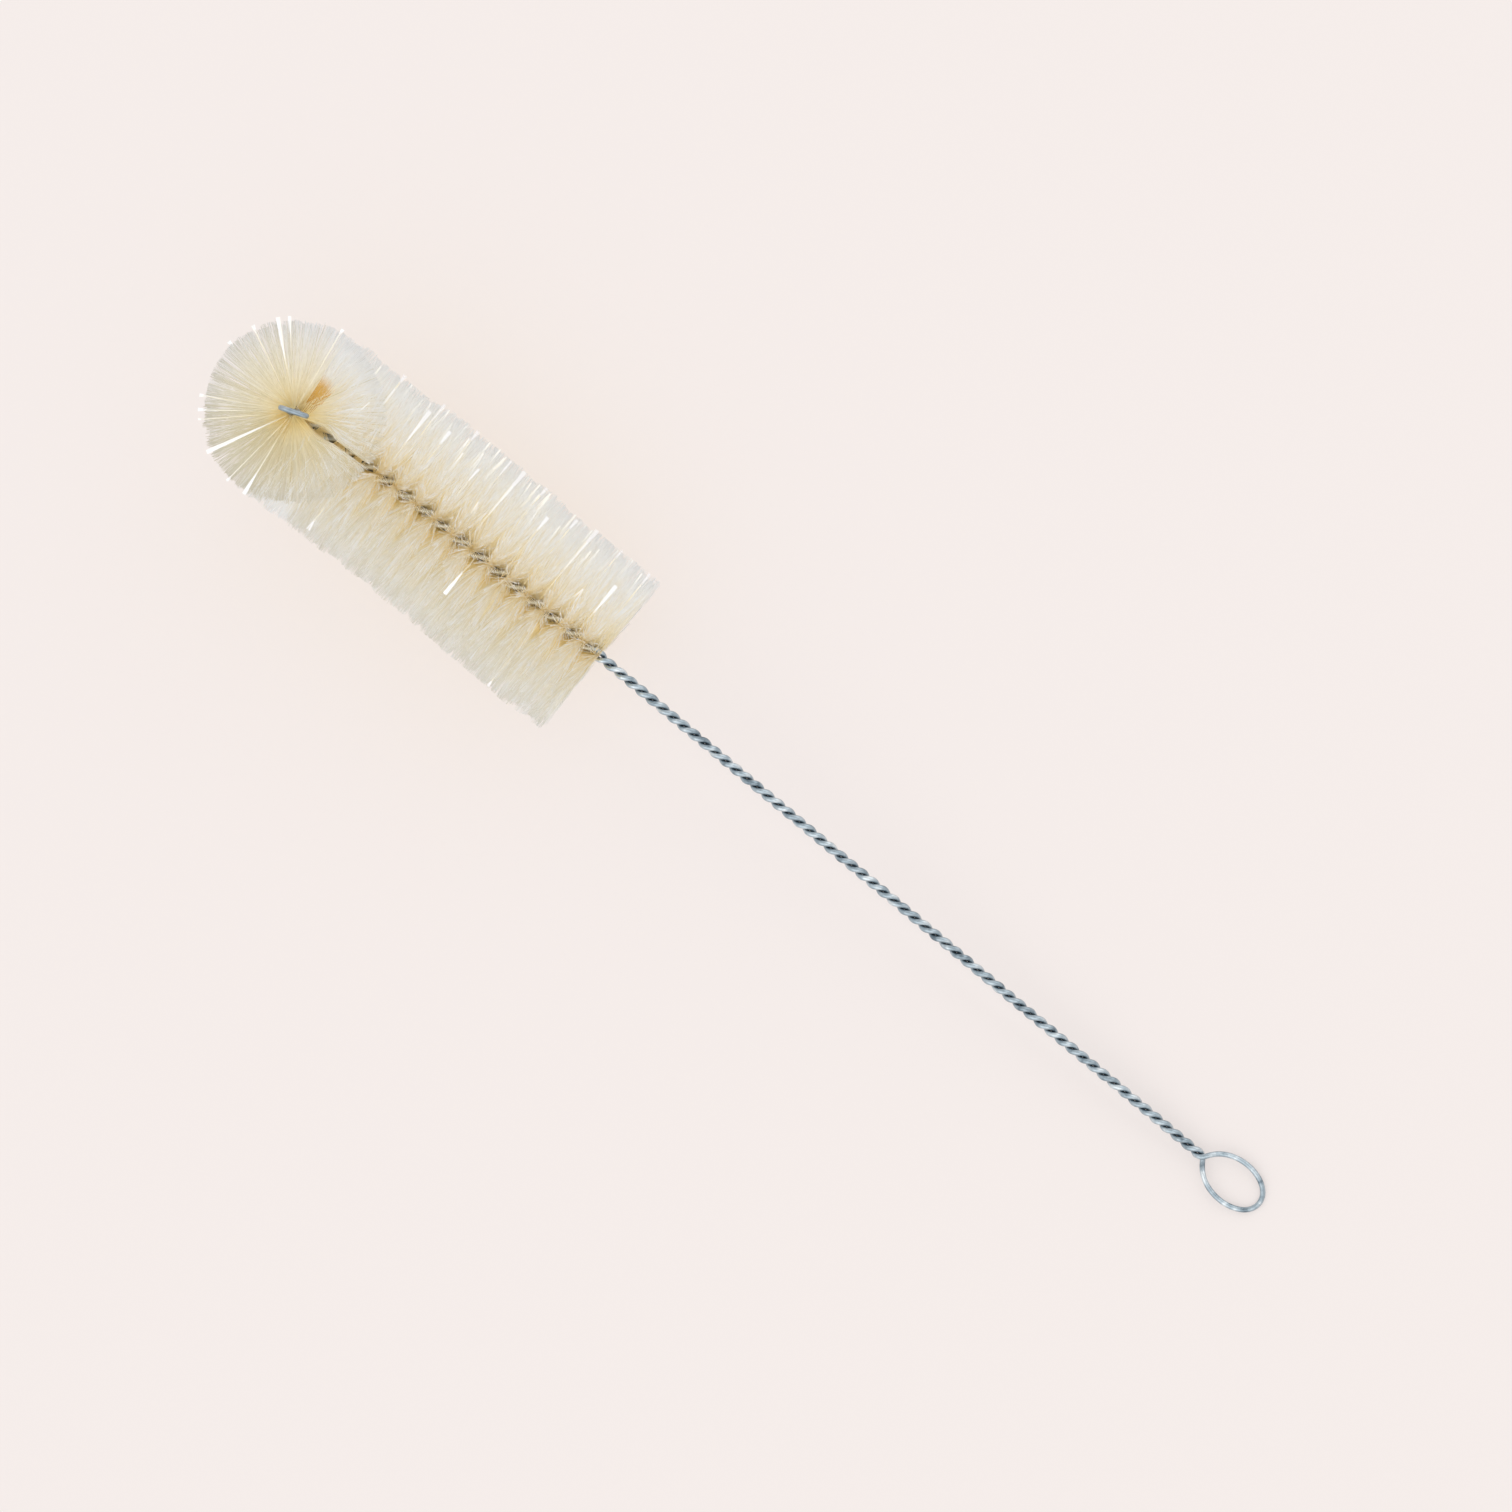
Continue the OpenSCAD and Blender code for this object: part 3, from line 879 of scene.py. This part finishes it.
def grown(stand, push, rng):
    """Middle lines of the bristles, each by itself, from their roots to their tips."""
    n = len(stand.s)
    lean = LEAN * rng.uniform(-1, 1, n)
    splay = SPLAY * np.clip(rng.normal(0, 0.5, n), -1, 1)
    splay = np.where(rng.uniform(0, 1, n) < STRAY_SHARE, STRAY * rng.uniform(-1, 1, n), splay)
    reach = BRISTLE_R - OWN_NOISE * rng.uniform(0, 1, n) ** 3 - TIP_TRIM * turned_up(stand.s)
    reach, lean = given_room(stand, reach, lean, rng)
    aside = ROOT_SIDE * rng.uniform(-1, 1, n)
    root = stand.place + ROOT_OUT * stand.out + aside[:, None] * stand.tangent
    way = np.cos(splay)[:, None] * stand.out + np.sin(splay)[:, None] * stand.tangent
    tip = stand.place + reach[:, None] * way + lean[:, None] * stand.along
    paths = root[:, None] + GROWTH[None, :, None] * (tip - root)[:, None]
    held = (1 - smooth01((GROWTH - PUSH_HELD) / (1 - PUSH_HELD))) * GROWTH
    return paths + (push[:, None] * held * reach[:, None])[..., None] * stand.tangent[:, None]


def tufted(paths, rng):
    """Bristles that hold together in tufts and are trimmed a little unevenly. With them goes a number
    for each, the same for its whole tuft."""
    n = len(paths)
    guides = rng.choice(n, int(n * TUFT_SHARE), replace=False)
    tuft, _ = nearest(paths[:, -1], guides)
    tuft_tone = rng.uniform(-1, 1, len(guides))
    paths = drawn(paths, paths[guides[tuft]], TUFT_PULL * rng.uniform(0.5, 1.0, n))
    short = TRIM_NOISE * rng.uniform(0, 1, len(guides))[tuft] ** 2
    lobes = rng.choice(n, LOBES, replace=False)
    lobe, _ = nearest(paths[:, -1], lobes)
    short = (short + LOBE_NOISE * rng.uniform(0, 1, LOBES)[lobe] ** 2) / BRISTLE_R
    root = paths[:, :1]
    return root + (paths - root) * (1 - short[:, None, None]), tuft_tone[tuft]


def plain_tones(stand, tuft_tone, parting_shade_mask, rng):
    """Tones of plain bristles, the higher the paler."""
    # Painted light: one side of the brush is painted paler and the other darker
    pale = PALE_START + PAINTED_LIGHT_SIDE * stand.out[:, 1] + PALE_TUFT * tuft_tone
    pale = pale + PALE_OWN * rng.uniform(-1, 1, len(parting_shade_mask))
    # Painted shade: the partings and the turned-up tip are painted golden and darker
    pale = pale - PARTING_SHADE * parting_shade_mask - TIP_SHADE * turned_up(stand.s)
    pale = pale + PALE_BARE * np.exp(-((stand.s - BEND_START - BARE_AT) / PALE_BARE_LEN) ** 2)
    return PLAIN_TONE * np.clip(pale, 0, 1)


def shade_wedge(paths, tone, stand):
    """Paints a wedge of the turned-up tip amber, from the end of the eye's bar outward: painted shade of a
    deep gap.
    """
    bar_end = WEDGE_OFF * eye_way() * np.sign(eye_way()[0])
    middle = paths[:, 1] - stand.place - bar_end
    way = np.arctan2(np.sum(middle * stand.side, -1), np.sum(middle * stand.over, -1))
    off = within_half_turn(way - WEDGE_AT)
    in_wedge = (np.abs(off) < WEDGE_WIDE) & (stand.s > BEND_END)
    tone[in_wedge] = WEDGE_SHADE_TONE
    aside = bar_end + (WEDGE_W * off[in_wedge] / WEDGE_WIDE)[:, None] * stand.tangent[in_wedge]
    paths[in_wedge] += np.clip(1 - GROWTH / GROWTH[2], 0, 1)[:, None] * aside[:, None]
    paths[in_wedge, 1] += WEDGE_LIFT * stand.along[in_wedge]


def glint_tufted(paths, tone, stand, rng):
    """Draws tufts together on one side of the straight length, which are painted white at their tips:
    painted highlights.
    """
    there = (stand.out[:, 1] > GLINT_SIDE) & (stand.s < BEND_START)
    guides = rng.choice(np.flatnonzero(there), GLINT_TUFTS, replace=False)
    tuft, far = nearest(paths[:, -1], guides)
    # Painted highlight: the bristles drawn into a tuft are painted white at their tips
    white = (far < GLINT_REACH) & (tone != WEDGE_SHADE_TONE)
    tone[white] = GLINT_TONE
    return drawn(paths, paths[guides[tuft]], GLINT_PULL * white)


def combed(paths):
    """Bristles parted to either side of the core, where it comes up to the turned-up tip."""
    place, along, _, side = core(BEND_START)
    fore, across = (paths - place) @ along, (paths - place) @ side
    near = smooth01((fore + COMB_LEN) / COMB_FADE) * smooth01((TIP_BEND_R - fore) / COMB_END + 0.5)
    near = near * smooth01(GROWTH / COMB_GROWTH)
    hand = np.where(across[:, -1:] < 0, -1, 1)
    away = across * hand
    clear = COMB_W + BARE_W * np.exp(-((fore - BARE_AT) / BARE_LEN) ** 2)
    room = clear + np.clip(away, 0, None) * (1 - clear / COMB_REACH) - away
    return paths + (hand * near * np.where(away < COMB_REACH, room, 0))[..., None] * side


def streak_bundles():
    """Each bundle of streaks: where along the core it is rooted, the directions in which it comes up
    and ends, how far out each of its rings is as a share of the radius, and how many it takes."""
    for at, first, last, count in STREAKS:
        yield STEM_LEN + at * MM, math.radians(first), math.radians(last), [STREAK_ROOT, 1, 1, 1], count
    for way, start, count in TIP_STREAKS:
        out = [STREAK_ROOT, start, (start + 1) / 2, 1]
        yield TWIST_END - STREAK_W, math.radians(way), math.radians(way), out, count


def streak(paths, tone, stand, rng):
    """Lays bundles of bristles over the rest, each of those nearest to where it is rooted."""
    for at, first, last, out, count in streak_bundles():
        off = within_half_turn(stand.angle - first)
        pick = np.argsort(np.hypot(stand.s - at, BRISTLE_R / 2 * off))[:count]
        way = first + (last - first) * np.clip((GROWTH - GROWTH[1]) / (1 - GROWTH[1]), 0, 1)
        middle = around(np.full(len(GROWTH), at), (BRISTLE_R - STREAK_INSET) * np.array(out), way)
        along = core(at)[1]
        beside = along
        if at > BEND_END:
            beside = np.cross(along, middle[-1] - middle[0]) / BRISTLE_R
            middle = middle - np.outer(STREAK_SINK, along)
        for k in pick:
            shift = STREAK_W * rng.uniform(-1, 1)
            paths[k] = middle + shift * beside * GROWTH[:, None] ** STREAK_SPREAD
        # Painted highlight: their tone paints them white but for their roots
        tone[pick] = GLINT_STREAK_TONE


def bristle_paths(rng):
    """Middle lines of all bristles as they lie in the frame, and their tones."""
    stand = rooted(rng)
    push, parting_shade_mask = partings(stand)
    paths, tuft_tone = tufted(grown(stand, push, rng), rng)
    tone = plain_tones(stand, tuft_tone, parting_shade_mask, rng)
    shade_wedge(paths, tone, stand)
    paths = combed(glint_tufted(paths, tone, stand, rng))
    streak(paths, tone, stand, rng)
    return laid(paths.reshape(-1, 3)).reshape(paths.shape), tone


def add_bristles():
    """Draws a small ring of points along each bristle, shares the bristles out over the pieces, and
    tells their material of each point its growth and its tone."""
    rng = np.random.default_rng(SEED)
    paths, tone = bristle_paths(rng)
    thickest = STREAK_THICK * TIP_RADIUS
    paths = np.clip(paths, np.array(cad_box[0]) + thickest, np.array(cad_box[1]) - thickest)
    n, rings = paths.shape[:2]
    sides = BRISTLE_SIDES
    run = unit(paths[:, -1] - paths[:, 0])
    across = unit(np.cross(run, rng.normal(0, 1, (n, 3))))

    # The white ones, tufts and streaks painted white as highlights, have split, flattened ends, and turn a
    # flat side up
    flat = tone >= GLINT_TONE
    top = unit(UPRIGHT - (run @ UPRIGHT)[:, None] * run)
    half = math.pi / sides
    across[flat] = (math.cos(half) * top - math.sin(half) * np.cross(run, top))[flat]
    over = np.cross(run, across)
    angle = 2 * math.pi * np.arange(sides) / sides
    ring = np.cos(angle)[None, :, None] * across[:, None] + np.sin(angle)[None, :, None] * over[:, None]
    thick = np.ones((n, rings))
    thick[tone == GLINT_STREAK_TONE, 1:] = [STREAK_START, STREAK_THICK, STREAK_THICK]
    thick[tone == GLINT_TONE, -1] = GLINT_THICK
    radius = (ROOT_RADIUS + (TIP_RADIUS - ROOT_RADIUS) * GROWTH) * thick
    points = paths[:, :, None] + radius[..., None, None] * ring[:, None]

    # Faces of one bristle, and where their corners are on the map from the middle of the bristle
    r, k = np.meshgrid(np.arange(rings - 1), np.arange(sides), indexing="ij")
    m = (k + 1) % sides
    low, high = r * sides, (r + 1) * sides
    wall = np.stack([low + k, low + m, high + m, high + k], -1).reshape(-1, 4)
    wall_u = np.stack([k, k + 1, k + 1, k], -1).ravel() - sides / 2
    wall_v = np.stack([GROWTH[r], GROWTH[r], GROWTH[r + 1], GROWTH[r + 1]], -1).ravel()
    caps = np.stack([np.arange(sides)[::-1], (rings - 1) * sides + np.arange(sides)])
    cap_u = np.array([-1, 0, 1, -1, 0, 1])
    cap_v = np.array([GROWTH_EDGE, 0, GROWTH_EDGE, 1 - GROWTH_EDGE, 1, 1 - GROWTH_EDGE])
    wall_v = GROWTH_EDGE + (1 - 2 * GROWTH_EDGE) * wall_v

    material = bleached_bristle()
    for number in range(PIECES):
        pick = np.flatnonzero(np.arange(n) // 2 % PIECES == number)
        per = len(pick)
        base = sides * rings * np.arange(per)[:, None, None]
        faces = [(base + wall).reshape(-1, 4), (base + caps).reshape(-1, sides)]
        hairs = add_piece(
            f"bristles_{number + 1}", points[pick].reshape(-1, 3), faces, material,
            "bristle_fill",
        )

        # Where a bristle is flattened its edges stay sharp, so that the flat side shines as one
        smooth = thick[pick][:, 1 + r.ravel()] == 1
        smooth = np.concatenate([smooth.ravel(), np.repeat(~flat[pick], 2)])
        hairs.data.polygons.foreach_set("use_smooth", smooth)
        if number > 0:
            hairs.visible_shadow = False
            hairs.visible_diffuse = False
            hairs.visible_glossy = False

        add_numbers(hairs.data, "growth", "FLOAT", np.tile(np.repeat(GROWTH, sides), per))
        add_numbers(hairs.data, "tone", "FLOAT", np.repeat(tone[pick], sides * rings))
        own_u = TONE_EDGE + (1 - 2 * TONE_EDGE) * tone[pick][:, None]
        u = np.concatenate([(own_u + FACE_W * wall_u).ravel(), (own_u + FACE_W * cap_u).ravel()])
        v = np.concatenate([np.tile(wall_v, per), np.tile(cap_v, per)])
        add_bake_map(hairs.data, np.stack([u, v], -1))


add_camera()
add_floor()
add_light()
add_wire()
add_bristles()

bpy.context.scene.view_settings.view_transform = "Standard"
